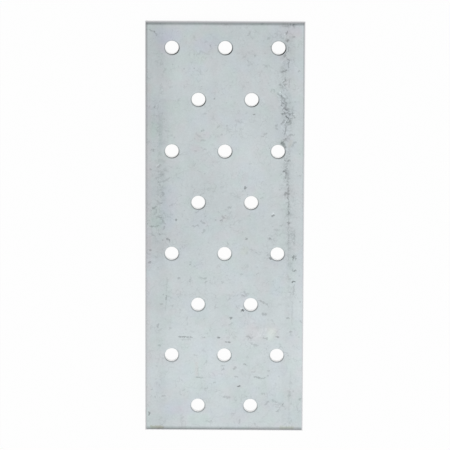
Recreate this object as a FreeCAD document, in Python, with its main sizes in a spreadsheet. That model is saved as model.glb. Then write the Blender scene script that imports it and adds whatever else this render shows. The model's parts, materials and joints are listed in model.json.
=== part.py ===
import FreeCAD, Part
import Sketcher
import math
import os

# Mending plate: one piece of galvanised sheet steel, punched with a staggered grid of nail holes
# and cut from its strip half-way between two rows. It bridges a joint between two timbers.
#
# The plate lies on its back. The origin is the middle of the back face, X runs across the plate,
# Y along it and Z up through the sheet. The punch and the shear came down from +Z, so that face
# has the rolled-over rims. Below them the cut is smooth and upright, and in its lower part it has
# broken away and widened by the gap between punch and die.

# Name, value in millimetres (or a count), and what it is.
SIZES = [
    ("Thickness", 2.0, "sheet gauge"),
    ("HolesAcross", 3, "holes in a wide row; a narrow row has one fewer"),
    ("RowPairs", 4, "pairs of rows, each a wide row and then a narrow one"),
    ("HolePitch", 20.0, "centre to centre within a row"),
    ("RowPitch", 20.0, "centre to centre from one row to the next"),
    ("SideMargin", 10.0, "outer hole of a wide row to the long edge"),
    ("EndMargin", 10.0, "first or last row to the short edge"),
    ("BoreDiameter", 5.0, "nail hole, at the smooth part of its wall"),
    ("HoleRollWidth", 0.4, "how far the rolled-over rim reaches from the bore"),
    ("HoleRollDepth", 0.22, "how deep that rim starts below the face"),
    ("EdgeRollRadius", 0.35, "rolled-over rim of the plate's outer edges"),
    ("BreakDepth", 1.15, "height of the broken-away part of each cut, from the back"),
    ("DieClearance", 0.12, "how far that part recedes by the time it meets the back"),
]

# The plate's outer size and the place of its first holes follow from the hole grid.
PLATE_WIDTH = "((<<Sizes>>.HolesAcross - 1) * <<Sizes>>.HolePitch + 2 * <<Sizes>>.SideMargin)"
PLATE_LENGTH = "((2 * <<Sizes>>.RowPairs - 1) * <<Sizes>>.RowPitch + 2 * <<Sizes>>.EndMargin)"
WIDE_ROW_X = "(-(<<Sizes>>.HolesAcross - 1) * <<Sizes>>.HolePitch / 2)"
NARROW_ROW_X = "(-(<<Sizes>>.HolesAcross - 2) * <<Sizes>>.HolePitch / 2)"
WIDE_ROW_Y = "((<<Sizes>>.RowPairs - 0.5) * <<Sizes>>.RowPitch)"
NARROW_ROW_Y = "((<<Sizes>>.RowPairs - 1.5) * <<Sizes>>.RowPitch)"


def make_sheet(doc):
    sheet = doc.addObject("Spreadsheet::Sheet", "Sizes")
    for row, (name, value, note) in enumerate(SIZES, start=1):
        sheet.set(f"A{row}", name)
        sheet.set(f"B{row}", str(value))
        sheet.set(f"C{row}", note)
        sheet.setAlias(f"B{row}", name)
    doc.recompute()
    return sheet


def origin_feature(body, role):
    return next(f for f in body.Origin.OriginFeatures if f.Role == role)


def new_sketch(body, name, plane):
    sketch = body.newObject("Sketcher::SketchObject", name)
    sketch.AttachmentSupport = (origin_feature(body, plane), [""])
    sketch.MapMode = "FlatFace"
    return sketch


def first(edge):
    """The point where an edge starts, as a constraint names it."""
    return edge, 1


def last(edge):
    """The point where an edge ends."""
    return edge, 2


def origin():
    """The sketch's own origin, where its horizontal axis starts."""
    return first(-1)


def add_line(sketch, start, end):
    line = Part.LineSegment(FreeCAD.Vector(*start, 0), FreeCAD.Vector(*end, 0))
    return sketch.addGeometry(line, False)


def constrain(sketch, *constraint):
    return sketch.addConstraint(Sketcher.Constraint(*constraint))


def join(sketch, edge, following):
    """Puts one edge's last point on the next edge's first."""
    constrain(sketch, "Coincident", *last(edge), *first(following))


def dimension(sketch, name, expression, kind, *points):
    """Adds a dimension under a name of its own and ties it to the sheet."""
    index = constrain(sketch, kind, *points, float(sketch.evalExpression(expression)))
    sketch.renameConstraint(index, name)
    sketch.setExpression(f"Constraints.{name}", expression)


def draw_outline(body):
    """The plate's outline, at the height where the smooth cut gives way to the broken one."""
    sketch = new_sketch(body, "Outline", "XY_Plane")
    sketch.setExpression("AttachmentOffset.Base.z", "<<Sizes>>.BreakDepth")
    half_x = sketch.evalExpression(PLATE_WIDTH) / 2
    half_y = sketch.evalExpression(PLATE_LENGTH) / 2
    near = add_line(sketch, (-half_x, -half_y), (half_x, -half_y))
    right = add_line(sketch, (half_x, -half_y), (half_x, half_y))
    far = add_line(sketch, (half_x, half_y), (-half_x, half_y))
    left = add_line(sketch, (-half_x, half_y), (-half_x, -half_y))
    for edge, following in ((near, right), (right, far), (far, left), (left, near)):
        join(sketch, edge, following)
    for edge in (near, far):
        constrain(sketch, "Horizontal", edge)
    for edge in (right, left):
        constrain(sketch, "Vertical", edge)
    constrain(sketch, "Symmetric", *first(near), *first(far), *origin())
    dimension(sketch, "Width", PLATE_WIDTH, "DistanceX", *first(near), *last(near))
    dimension(sketch, "Length", PLATE_LENGTH, "DistanceY", *first(right), *last(right))
    return sketch


def cut_sheet(body, outline):
    """The blank: upright above the outline, and drawn in below it where the shear broke away."""
    blank = body.newObject("PartDesign::Pad", "Blank")
    blank.Profile = outline
    blank.SideType = "Two sides"
    blank.setExpression("Length", "<<Sizes>>.Thickness - <<Sizes>>.BreakDepth")
    blank.setExpression("Length2", "<<Sizes>>.BreakDepth")
    blank.setExpression("TaperAngle2", "-atan(<<Sizes>>.DieClearance / <<Sizes>>.BreakDepth)")
    return blank


def roll_outer_edges(body, blank):
    """Rounds the rim of the struck face, where the shear dragged the sheet down."""
    top = blank.Shape.BoundBox.ZMax
    flat = blank.Shape.BoundBox.DiagonalLength * 1e-6
    rims = [
        f"Edge{number}"
        for number, edge in enumerate(blank.Shape.Edges, start=1)
        if abs(edge.BoundBox.ZMin - top) < flat
    ]
    rim = body.newObject("PartDesign::Fillet", "EdgeRoll")
    rim.Base = (blank, rims)
    rim.setExpression("Radius", "<<Sizes>>.EdgeRollRadius")
    return rim


def draw_roll(sketch, bore_radius, top, width, depth):
    """The rolled-over rim's arc, from the face it flows out of, down to the bore."""
    radius = (width**2 + depth**2) / (2 * depth)
    middle = FreeCAD.Vector(bore_radius + width, top - radius, 0)
    circle = Part.Circle(middle, FreeCAD.Vector(0, 0, 1), radius)
    at_face, at_bore = math.pi / 2, math.atan2(radius - depth, -width)
    return sketch.addGeometry(Part.ArcOfCircle(circle, at_face, at_bore), False)


def draw_punch(body, name, sheet, hole_x, hole_y):
    """Half the section of what one stroke removes, on the axis of a row's first hole.

    From the struck face down: the rolled-over rim, the smooth bore, and the wider broken part.
    """
    sketch = new_sketch(body, name, "XZ_Plane")
    sketch.setExpression("AttachmentOffset.Base.x", hole_x)
    sketch.setExpression("AttachmentOffset.Base.z", f"-{hole_y}")  # this plane faces -Y
    radius, top = sheet.BoreDiameter / 2, sheet.Thickness
    rim = radius + sheet.HoleRollWidth
    smooth_foot, smooth_top = sheet.BreakDepth, top - sheet.HoleRollDepth
    foot = radius + sheet.DieClearance
    middle = add_line(sketch, (0, top), (0, 0))
    back = add_line(sketch, (0, 0), (foot, 0))
    broken = add_line(sketch, (foot, 0), (radius, smooth_foot))
    bore = add_line(sketch, (radius, smooth_foot), (radius, smooth_top))
    roll = draw_roll(sketch, radius, top, sheet.HoleRollWidth, sheet.HoleRollDepth)
    face = add_line(sketch, (rim, top), (0, top))
    for edge, following in ((middle, back), (back, broken), (broken, bore), (face, middle)):
        join(sketch, edge, following)
    # The arc meets the bore at a corner, and leaves the face without one.
    constrain(sketch, "Coincident", *last(bore), *last(roll))
    constrain(sketch, "Tangent", *first(roll), *first(face))
    constrain(sketch, "Coincident", *last(middle), *origin())
    for edge in (middle, bore):
        constrain(sketch, "Vertical", edge)
    for edge in (back, face):
        constrain(sketch, "Horizontal", edge)
    dimension(sketch, "Height", "<<Sizes>>.Thickness", "DistanceY", *last(middle), *first(middle))
    dimension(sketch, "Bore", "<<Sizes>>.BoreDiameter / 2", "DistanceX", *origin(), *first(bore))
    dimension(sketch, "Widening", "<<Sizes>>.DieClearance", "DistanceX", *first(bore), *last(back))
    dimension(sketch, "Broken", "<<Sizes>>.BreakDepth", "DistanceY", *last(back), *first(bore))
    dimension(sketch, "RollWidth", "<<Sizes>>.HoleRollWidth", "DistanceX", *last(bore), *first(face))
    dimension(sketch, "RollDepth", "<<Sizes>>.HoleRollDepth", "DistanceY", *last(bore), *first(face))
    return sketch


def punch_hole(body, name, punch):
    hole = body.newObject("PartDesign::Groove", name)
    hole.Profile = punch
    hole.ReferenceAxis = (punch, ["V_Axis"])
    hole.Angle = 360
    return hole


def repeat_hole(body, name, hole, holes_in_row):
    """Repeats a row's first hole across the row, and the row at every second row pitch."""
    rows = body.newObject("PartDesign::LinearPattern", name)
    rows.Originals = [hole]
    rows.Direction = (origin_feature(body, "X_Axis"), [""])
    rows.Mode = "Spacing"
    rows.setExpression("Offset", "<<Sizes>>.HolePitch")
    rows.setExpression("Occurrences", holes_in_row)
    rows.Direction2 = (origin_feature(body, "Y_Axis"), [""])
    rows.Reversed2 = True
    rows.Mode2 = "Spacing"
    rows.Spacings2 = [-1.0]  # below zero, the first gap has no length of its own and uses Offset2
    rows.setExpression("Offset2", "2 * <<Sizes>>.RowPitch")
    rows.setExpression("Occurrences2", "<<Sizes>>.RowPairs")
    body.Tip = rows
    return rows


def make_plate(doc, sheet):
    body = doc.addObject("PartDesign::Body", "Plate")
    body.Label = "mending_plate"
    blank = cut_sheet(body, draw_outline(body))
    doc.recompute()
    roll_outer_edges(body, blank)
    doc.recompute()
    rows = [
        ("WideRow", WIDE_ROW_X, WIDE_ROW_Y, "<<Sizes>>.HolesAcross"),
        ("NarrowRow", NARROW_ROW_X, NARROW_ROW_Y, "<<Sizes>>.HolesAcross - 1"),
    ]
    for name, hole_x, hole_y, holes_in_row in rows:
        punch = draw_punch(body, f"{name}Punch", sheet, hole_x, hole_y)
        doc.recompute()
        hole = punch_hole(body, f"{name}Hole", punch)
        doc.recompute()
        repeat_hole(body, f"{name}s", hole, holes_in_row)
        doc.recompute()
    return body


def check(doc, body, sheet):
    """Stops before anything is written if a feature failed or a hole is missing."""
    failed = [o.Name for o in doc.Objects if {"Invalid", "Error"} & set(o.State)]
    if failed:
        raise RuntimeError(f"these objects failed: {failed}")
    shape = body.Shape
    if shape.isNull() or not shape.isValid() or len(shape.Solids) != 1:
        raise RuntimeError("the plate isn't one valid solid")
    bore_radius = sheet.BoreDiameter / 2
    bores = [
        face
        for face in shape.Faces
        if isinstance(face.Surface, Part.Cylinder) and abs(face.Surface.Radius - bore_radius) < 1e-6
    ]
    expected = sheet.RowPairs * (2 * sheet.HolesAcross - 1)
    if len(bores) != expected:
        raise RuntimeError(f"{len(bores)} bores came out, not {expected}")


def main():
    doc = FreeCAD.newDocument("MendingPlate")
    sheet = make_sheet(doc)
    plate = make_plate(doc, sheet)
    check(doc, plate, sheet)
    os.makedirs("parts", exist_ok=True)
    plate.Shape.exportStep(os.path.join("parts", f"{plate.Label}.step"))
    box = plate.Shape.BoundBox
    print(f"{plate.Label}: {box.XLength:.3f} x {box.YLength:.3f} x {box.ZLength:.3f} mm, "
          f"{plate.Shape.Volume:.1f} mm3, {len(plate.Shape.Faces)} faces")


main()
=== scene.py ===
import json
import math

import bpy
from mathutils import Matrix, Vector


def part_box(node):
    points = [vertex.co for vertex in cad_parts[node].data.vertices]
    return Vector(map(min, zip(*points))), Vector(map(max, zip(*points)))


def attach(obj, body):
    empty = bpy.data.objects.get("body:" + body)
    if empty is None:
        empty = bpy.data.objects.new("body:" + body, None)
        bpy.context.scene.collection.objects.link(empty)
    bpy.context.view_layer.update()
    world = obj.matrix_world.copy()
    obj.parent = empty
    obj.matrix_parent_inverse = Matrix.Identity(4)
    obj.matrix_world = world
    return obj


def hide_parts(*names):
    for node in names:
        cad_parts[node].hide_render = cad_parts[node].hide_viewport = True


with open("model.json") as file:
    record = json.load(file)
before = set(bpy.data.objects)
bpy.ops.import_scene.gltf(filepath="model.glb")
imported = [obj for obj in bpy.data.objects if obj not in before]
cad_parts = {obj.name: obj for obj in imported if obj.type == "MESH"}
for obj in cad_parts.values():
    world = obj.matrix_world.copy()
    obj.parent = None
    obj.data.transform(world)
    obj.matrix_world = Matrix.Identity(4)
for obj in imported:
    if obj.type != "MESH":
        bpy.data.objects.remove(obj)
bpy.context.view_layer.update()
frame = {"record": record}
print("frame loaded")

mm = 0.001
plateLow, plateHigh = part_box("mending_plate")
plateWidth, plateLength, plateThickness = (high - low for low, high in zip(plateLow, plateHigh))
boltPatterns = [mount for mount in frame["record"]["mounts"] if mount["kind"] == "bolt_pattern"]

# What a punch and a shear leave on the sheet, and how finely the mesh follows it
plate = {
    "name": "punched_plate",
    "rollWidth": 0.60 * mm,      # how far in from a hole the face starts to roll over
    "rollDepth": 0.22 * mm,      # how deep that roll goes
    "edgeRollWidth": 0.80 * mm,  # the same at the outer edges
    "edgeRollDepth": 0.30 * mm,
    "breakDepth": 1.15 * mm,     # height above the back face at which the cut breaks away
    "dieClearance": 0.12 * mm,   # how far the break runs back
    "breakWander": 0.25 * mm,    # the break line is never straight
    "breakNear": 0.02 * mm,      # points this close to the break line wander with it
    "breakRipples": 900.0,       # ripples of the break line in a metre
    "waviness": 0.03 * mm,       # how far the struck face wanders below true flat
    "waves": 28.0,               # waves of the struck face in a metre
    "firstShadedSide": -45.0,               # the side of each hole that gets painted shade, mostly towards the top, in degrees from +X
    "secondShadedSide": -135.0,               # and a second side that gets painted shade, mostly towards the foot
    "supportRing": 0.12 * mm,    # a flat strip beside each roll keeps the face flat in the shading
    "sideCells": 24,             # mesh cells along one pitch
    "faceRings": 6,
    "backRings": 4,
    "ringSpread": 1.35,          # above 1 the rings crowd towards the hole
    "rollSteps": 5,
    "weld": 0.015 * mm,          # points closer than this become one
    "sharpAngle": 38.0,
}
# One step more for the flat strip, one for the upright wall and two for the break
sectionSteps = plate["rollSteps"] + 4


def newObject(name, data):
    made = bpy.data.objects.new(name, data)
    bpy.context.collection.objects.link(made)
    return made


def feed(tree, socket, value):
    # Another node's output is linked, anything else is set
    if isinstance(value, bpy.types.NodeSocket):
        tree.links.new(value, socket)
    else:
        socket.default_value = value


def addNode(tree, kind, inputs=None, **settings):
    # Inputs are given by socket name or number
    node = tree.nodes.new(kind)
    for name, value in settings.items():
        setattr(node, name, value)
    for key, value in (inputs or {}).items():
        feed(tree, node.inputs[key], value)
    return node


def calc(tree, operation, *values):
    return addNode(tree, "ShaderNodeMath", dict(enumerate(values)), operation=operation).outputs[0]


def chain(tree, operation, values):
    result = values[0]
    for value in values[1:]:
        result = calc(tree, operation, result, value)
    return result


def times(tree, *values):
    return chain(tree, "MULTIPLY", values)


def plus(tree, *values):
    return chain(tree, "ADD", values)


def minus(tree, *values):
    return chain(tree, "SUBTRACT", values)


def clampTo(tree, value, low, high):
    return calc(tree, "MAXIMUM", calc(tree, "MINIMUM", value, high), low)


def holdWithin(tree, value, reach):
    return clampTo(tree, value, times(tree, reach, -1.0), reach)


def between(tree, share, start, end):
    # start where share is 0, end where it is 1
    return calc(tree, "MULTIPLY_ADD", share, minus(tree, end, start), start)


def onCircle(tree, turn, radius):
    return times(tree, calc(tree, "COSINE", turn), radius), times(tree, calc(tree, "SINE", turn), radius)


def newGroup(name, inputs, outputs, kind="GeometryNodeTree"):
    # A socket is (name, type), or a name alone where it holds a number
    tree = bpy.data.node_groups.new(name, kind)
    for sockets, way in ((inputs, "INPUT"), (outputs, "OUTPUT")):
        for socket in sockets:
            socketName, socketType = (socket, "NodeSocketFloat") if isinstance(socket, str) else socket
            tree.interface.new_socket(name=socketName, in_out=way, socket_type=socketType)
    return tree, tree.nodes.new("NodeGroupInput").outputs, tree.nodes.new("NodeGroupOutput").inputs


def useGroup(tree, group, inputs):
    node = tree.nodes.new("GeometryNodeGroup" if group.type == "GEOMETRY" else "ShaderNodeGroup")
    node.node_tree = group
    for key, value in inputs.items():
        feed(tree, node.inputs[key], value)
    return node.outputs


def makeWalkRound():
    # A walk round a rectangle at an even pace: where it is after this share of the way
    tree, given, result = newGroup("Walk Round", ["Share", "Half Width", "Half Length"], ["X", "Y"])
    halfWay = times(tree, plus(tree, given["Half Width"], given["Half Length"]), 2.0)
    quarter = times(tree, halfWay, 0.5)
    gone = times(tree, given["Share"], halfWay, 2.0)
    lead = calc(tree, "MULTIPLY_ADD", halfWay, 1.5, gone)
    for way, half, name in ((gone, "Half Width", "X"), (lead, "Half Length", "Y")):
        swing = minus(tree, quarter, calc(tree, "PINGPONG", way, halfWay))
        tree.links.new(holdWithin(tree, swing, given[half]), result[name])
    return tree


def makeCutSection():
    # The section of a cut edge, from the face to the back: how far it stands in and how high it is
    tree, given, result = newGroup(
        "Cut Section",
        ["Share", "Thickness", "Roll Width", "Roll Depth", "Support", "Break Depth", "Clearance"],
        ["Inset", "Height", "Step"],
    )
    rollSteps = float(plate["rollSteps"])
    step = times(tree, given["Share"], float(sectionSteps))
    onSupport = clampTo(tree, minus(tree, 1.0, step), 0.0, 1.0)
    rollShare = clampTo(tree, calc(tree, "DIVIDE", minus(tree, step, 1.0), rollSteps), 0.0, 1.0)
    wallShare = clampTo(tree, minus(tree, step, 1.0 + rollSteps), 0.0, 1.0)
    breakShare = clampTo(tree, times(tree, minus(tree, step, 2.0 + rollSteps), 0.5), 0.0, 1.0)
    turn = times(tree, rollShare, math.pi / 2)
    rollIn = times(tree, given["Roll Width"], minus(tree, 1.0, calc(tree, "SINE", turn)))
    rollDown = times(tree, given["Roll Depth"], minus(tree, 1.0, calc(tree, "COSINE", turn)))
    inset = calc(tree, "MULTIPLY_ADD", onSupport, given["Support"], rollIn)
    inset = calc(tree, "MULTIPLY_ADD", breakShare, given["Clearance"], inset)
    upright = minus(tree, given["Thickness"], given["Roll Depth"], given["Break Depth"])
    wallDown = times(tree, wallShare, upright)
    breakDown = times(tree, breakShare, given["Break Depth"])
    tree.links.new(inset, result["Inset"])
    tree.links.new(minus(tree, given["Thickness"], rollDown, wallDown, breakDown), result["Height"])
    tree.links.new(plus(tree, rollShare, plus(tree, wallShare, breakShare)), result["Step"])
    return tree


def gridShares(tree):
    # A unit grid's own places, as two shares from 0 to 1
    place = addNode(tree, "ShaderNodeSeparateXYZ", {0: addNode(tree, "GeometryNodeInputPosition").outputs[0]})
    return plus(tree, place.outputs["X"], 0.5), plus(tree, place.outputs["Y"], 0.5)


def unitGrid(tree, cellsX, cellsY):
    return addNode(
        tree, "GeometryNodeMeshGrid",
        {"Size X": 1.0, "Size Y": 1.0, "Vertices X": cellsX + 1, "Vertices Y": cellsY + 1},
    ).outputs["Mesh"]


def setPlace(tree, mesh, x, y, z):
    place = addNode(tree, "ShaderNodeCombineXYZ", {"X": x, "Y": y, "Z": z}).outputs[0]
    return addNode(tree, "GeometryNodeSetPosition", {"Geometry": mesh, "Position": place}).outputs[0]


def store(tree, mesh, **values):
    for name, value in values.items():
        mesh = addNode(
            tree, "GeometryNodeStoreNamedAttribute", {"Geometry": mesh, "Name": name, "Value": value},
            data_type="FLOAT", domain="CORNER",
        ).outputs[0]
    return mesh


def flip(tree, mesh):
    return addNode(tree, "GeometryNodeFlipFaces", {"Mesh": mesh}).outputs[0]


def join(tree, *meshes):
    node = addNode(tree, "GeometryNodeJoinGeometry")
    for mesh in meshes:
        tree.links.new(mesh, node.inputs[0])
    return node.outputs[0]


def cutSizes(given, share, rollWidth, rollDepth):
    sizes = {name: given[name] for name in ("Thickness", "Break Depth", "Clearance", "Support")}
    return {**sizes, "Share": share, "Roll Width": given[rollWidth], "Roll Depth": given[rollDepth]}


def ringedFace(tree, walk, pitch, rimRadius, height, rings, rimStrip):
    # One pitch of sheet round a hole: a strip beside the rim, then rings that go from round to square
    roundShare, outShare = gridShares(tree)
    halfPitch = times(tree, pitch, 0.5)
    square = useGroup(tree, walk, {"Share": roundShare, "Half Width": halfPitch, "Half Length": halfPitch})
    away = calc(tree, "POWER", outShare, plate["ringSpread"])
    rimX, rimY = onCircle(tree, times(tree, roundShare, math.tau), plus(tree, rimRadius, rimStrip))
    x, y = between(tree, away, rimX, square["X"]), between(tree, away, rimY, square["Y"])
    return setPlace(tree, unitGrid(tree, plate["sideCells"] * 4, rings), x, y, height)


def makeHoledTile(tree, given, walk, section):
    # One pitch of the sheet with its punched hole
    boreRadius = times(tree, given["Bore"], 0.5)
    rim = plus(tree, boreRadius, given["Roll Width"])
    face = flip(tree, ringedFace(
        tree, walk, given["Pitch"], rim, given["Thickness"], plate["faceRings"], given["Support"]
    ))
    backRim = plus(tree, boreRadius, given["Clearance"])
    back = ringedFace(tree, walk, given["Pitch"], backRim, 0.0, plate["backRings"], 0.0)
    faces = store(tree, join(tree, face, back), cutStep=0.0, bore=0.0)

    roundShare, downShare = gridShares(tree)
    cut = useGroup(tree, section, cutSizes(given, downShare, "Roll Width", "Roll Depth"))
    turn = times(tree, roundShare, math.tau)
    wall = store(tree, unitGrid(tree, plate["sideCells"] * 4, sectionSteps), cutStep=cut["Step"], bore=1.0)
    # How far each point of a hole's wall faces the two sides that get painted shade in the finish
    for side in ("firstShadedSide", "secondShadedSide"):
        facing = calc(tree, "COSINE", minus(tree, turn, math.radians(plate[side])))
        wall = store(tree, wall, **{side: calc(tree, "MULTIPLY_ADD", facing, 0.5, 0.5)})
    cutX, cutY = onCircle(tree, turn, plus(tree, boreRadius, cut["Inset"]))
    return join(tree, faces, setPlace(tree, wall, cutX, cutY, cut["Height"]))


def makeBlankTile(tree, given):
    # Half a pitch of plain sheet, for the ends of the narrow rows
    acrossShare, alongShare = gridShares(tree)
    quarterPitch, halfPitch = times(tree, given["Pitch"], 0.25), times(tree, given["Pitch"], 0.5)
    x = between(tree, acrossShare, times(tree, quarterPitch, -1.0), quarterPitch)
    y = between(tree, alongShare, times(tree, halfPitch, -1.0), halfPitch)
    cells = plate["sideCells"]
    face = setPlace(tree, unitGrid(tree, cells // 2, cells), x, y, given["Thickness"])
    back = setPlace(tree, unitGrid(tree, cells // 2, cells), x, y, 0.0)
    return store(tree, join(tree, face, flip(tree, back)), cutStep=0.0, bore=0.0)


def layTiles(tree, points, holedTile, blankTile):
    # Both kinds are set out on the sheet's points
    isHole = addNode(
        tree, "GeometryNodeInputNamedAttribute", {"Name": "isHole"}, data_type="BOOLEAN"
    ).outputs["Attribute"]
    isBlank = addNode(tree, "FunctionNodeBooleanMath", {0: isHole}, operation="NOT").outputs[0]
    tiles = [
        addNode(
            tree, "GeometryNodeInstanceOnPoints", {"Points": points, "Selection": chosen, "Instance": tile}
        ).outputs[0]
        for chosen, tile in ((isHole, holedTile), (isBlank, blankTile))
    ]
    return addNode(tree, "GeometryNodeRealizeInstances", {0: join(tree, *tiles)}).outputs[0]


def makeShearedEdge(tree, given, walk, section, halfWidth, halfLength):
    aroundShare, downShare = gridShares(tree)
    shear = useGroup(tree, section, cutSizes(given, downShare, "Edge Roll Width", "Edge Roll Depth"))
    outline = useGroup(tree, walk, {"Share": aroundShare, "Half Width": halfWidth, "Half Length": halfLength})
    cells = round(2 * plate["sideCells"] * (plateWidth + plateLength) / holePitch)
    edge = store(tree, unitGrid(tree, cells, sectionSteps), cutStep=shear["Step"], bore=0.0)
    return flip(tree, setPlace(
        tree, edge,
        holdWithin(tree, outline["X"], minus(tree, halfWidth, shear["Inset"])),
        holdWithin(tree, outline["Y"], minus(tree, halfLength, shear["Inset"])),
        shear["Height"],
    ))


def makePlateTree():
    tree, given, result = newGroup(
        "Perforated Plate",
        [("Geometry", "NodeSocketGeometry"), "Width", "Length", "Thickness", "Pitch", "Bore",
         "Roll Width", "Roll Depth", "Edge Roll Width", "Edge Roll Depth", "Break Depth", "Clearance",
         "Support", "Waviness", "Break Wander", ("Finish", "NodeSocketMaterial")],
        [("Geometry", "NodeSocketGeometry")],
    )
    walk, section = makeWalkRound(), makeCutSection()
    holedTile = makeHoledTile(tree, given, walk, section)
    sheet = layTiles(tree, given["Geometry"], holedTile, makeBlankTile(tree, given))

    # The faces stop short of the outer edges, where the rolls begin
    halfWidth, halfLength = times(tree, given["Width"], 0.5), times(tree, given["Length"], 0.5)
    position = addNode(tree, "GeometryNodeInputPosition").outputs[0]
    at = addNode(tree, "ShaderNodeSeparateXYZ", {0: position}).outputs
    onFace = calc(tree, "GREATER_THAN", at["Z"], times(tree, given["Thickness"], 0.9))
    faceMargin = plus(tree, given["Edge Roll Width"], given["Support"])
    margin = between(tree, onFace, given["Clearance"], faceMargin)
    sheet = setPlace(
        tree, sheet,
        holdWithin(tree, at["X"], minus(tree, halfWidth, margin)),
        holdWithin(tree, at["Y"], minus(tree, halfLength, margin)),
        at["Z"],
    )
    edge = makeShearedEdge(tree, given, walk, section, halfWidth, halfLength)
    whole = addNode(
        tree, "GeometryNodeMergeByDistance", {"Geometry": join(tree, sheet, edge), "Distance": plate["weld"]}
    ).outputs[0]

    # The struck face is never quite flat, and the break line wanders
    wave = addNode(
        tree, "ShaderNodeTexNoise",
        {"Vector": position, "Scale": plate["waves"], "Detail": 1.0, "Roughness": 0.4},
    ).outputs[0]
    ripple = addNode(
        tree, "ShaderNodeTexNoise",
        {"Vector": position, "Scale": plate["breakRipples"], "Detail": 2.0, "Roughness": 0.6},
    ).outputs[0]
    upper = clampTo(tree, calc(tree, "DIVIDE", at["Z"], given["Thickness"]), 0.0, 1.0)
    sink = times(tree, wave, given["Waviness"], calc(tree, "POWER", upper, 4.0))
    offBreak = calc(tree, "ABSOLUTE", minus(tree, at["Z"], given["Break Depth"]))
    atBreak = calc(tree, "LESS_THAN", offBreak, plate["breakNear"])
    wander = times(tree, minus(tree, ripple, 0.5), given["Break Wander"], 2.0, atBreak)
    shift = addNode(tree, "ShaderNodeCombineXYZ", {"Z": minus(tree, wander, sink)}).outputs[0]
    whole = addNode(tree, "GeometryNodeSetPosition", {"Geometry": whole, "Offset": shift}).outputs[0]

    # Smooth, with a crease where the cut meets the back face
    angle = addNode(tree, "GeometryNodeInputMeshEdgeAngle").outputs["Unsigned Angle"]
    crease = calc(tree, "GREATER_THAN", angle, math.radians(plate["sharpAngle"]))
    whole = addNode(
        tree, "GeometryNodeSetShadeSmooth", {"Geometry": whole, "Selection": crease, "Shade Smooth": False},
        domain="EDGE",
    ).outputs[0]
    whole = addNode(tree, "GeometryNodeRealizeInstances", {0: whole}).outputs[0]
    whole = addNode(
        tree, "GeometryNodeSetMaterial", {"Geometry": whole, "Material": given["Finish"]}
    ).outputs[0]
    tree.links.new(whole, result["Geometry"])
    return tree


def holePlaces():
    # The holes, from the frame's mounts
    places = []
    for mount in boltPatterns:
        stepX = mount["dims"].get("spacing_x_mm", 0.0) * mm
        stepY = mount["dims"].get("spacing_y_mm", 0.0) * mm
        for side in sorted({-stepX / 2, stepX / 2}):
            for end in (-stepY / 2, stepY / 2):
                places.append((mount["pos_m"][0] + side, mount["pos_m"][1] + end))
    return sorted(places)


holes = holePlaces()
holeRadius = boltPatterns[0]["dims"]["hole_r_mm"] * mm
holeRows = sorted({round(y, 6) for x, y in holes})
holePitch = holeRows[1] - holeRows[0]


def blankPlaces():
    # The plain half pitches beside the rows that hold fewer holes
    reach = plateHigh.x - holePitch / 4
    places = []
    for row in holeRows:
        outermost = max(x for x, y in holes if abs(y - row) < mm)
        if outermost + holePitch / 2 < plateHigh.x - mm:
            places += [(-reach, row), (reach, row)]
    return places


def makePlate(finish):
    blanks = blankPlaces()
    points = bpy.data.meshes.new("plate_points")
    points.from_pydata([(x, y, 0.0) for x, y in holes + blanks], [], [])
    isHole = points.attributes.new("isHole", "BOOLEAN", "POINT")
    isHole.data.foreach_set("value", [True] * len(holes) + [False] * len(blanks))
    source = newObject("plate_points", points)
    modifier = source.modifiers.new("Perforated Plate", "NODES")
    modifier.node_group = makePlateTree()
    inputs = {
        "Width": plateWidth, "Length": plateLength, "Thickness": plateThickness,
        "Pitch": holePitch, "Bore": 2 * holeRadius,
        "Roll Width": plate["rollWidth"], "Roll Depth": plate["rollDepth"],
        "Edge Roll Width": plate["edgeRollWidth"], "Edge Roll Depth": plate["edgeRollDepth"],
        "Break Depth": plate["breakDepth"], "Clearance": plate["dieClearance"],
        "Support": plate["supportRing"], "Waviness": plate["waviness"],
        "Break Wander": plate["breakWander"], "Finish": finish,
    }
    for socket in modifier.node_group.interface.items_tree:
        if socket.name in inputs:
            modifier[socket.identifier] = inputs[socket.name]
    evaluated = source.evaluated_get(bpy.context.evaluated_depsgraph_get())
    mesh = bpy.data.meshes.new_from_object(evaluated)
    mesh.name = plate["name"]
    bpy.data.objects.remove(source)
    return newObject(plate["name"], mesh)


# Where each noise starts
seeds = {"clouds": 1, "scuffs": 20, "scuffPatches": 30, "bands": 40, "tints": 70, "grain": 90}

# The zinc. Sizes are in millimetres on the plate, depths are shares of the metal's own brightness
zinc = {
    "colour": (0.599, 0.651, 0.666),
    "roughness": 0.40,
    "clouds": [                  # size, stretch across and along, detail, depth
        (24.0, (1.0, 0.8), 1.0, 0.12),
        (9.0, (1.0, 0.7), 2.0, 0.10),
        (3.0, (1.0, 0.8), 2.0, 0.08),
        (1.0, (1.0, 1.0), 1.0, 0.08),
        (0.45, (1.0, 1.0), 0.0, 0.09),
        (4.0, (1.0, 0.03), 2.0, 0.06),
    ],
    "tints": [                   # what multiplies the colour, size, where its patches start
        ((0.976, 1.002, 0.982), 7.0, 0.54),
        ((0.992, 0.993, 1.014), 8.0, 0.56),
        ((1.012, 0.986, 0.990), 6.0, 0.55),
    ],
    "tintFade": (-0.06, 0.12),   # from that start on: first trace, full tint
    "wearAndShadeRoughness": 0.5,        # how much a spot gains in roughness for its wear and painted shade
    "darkest": 0.1,
    "grainSize": 0.45,
    "bump": 0.015 * mm,
}
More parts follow.
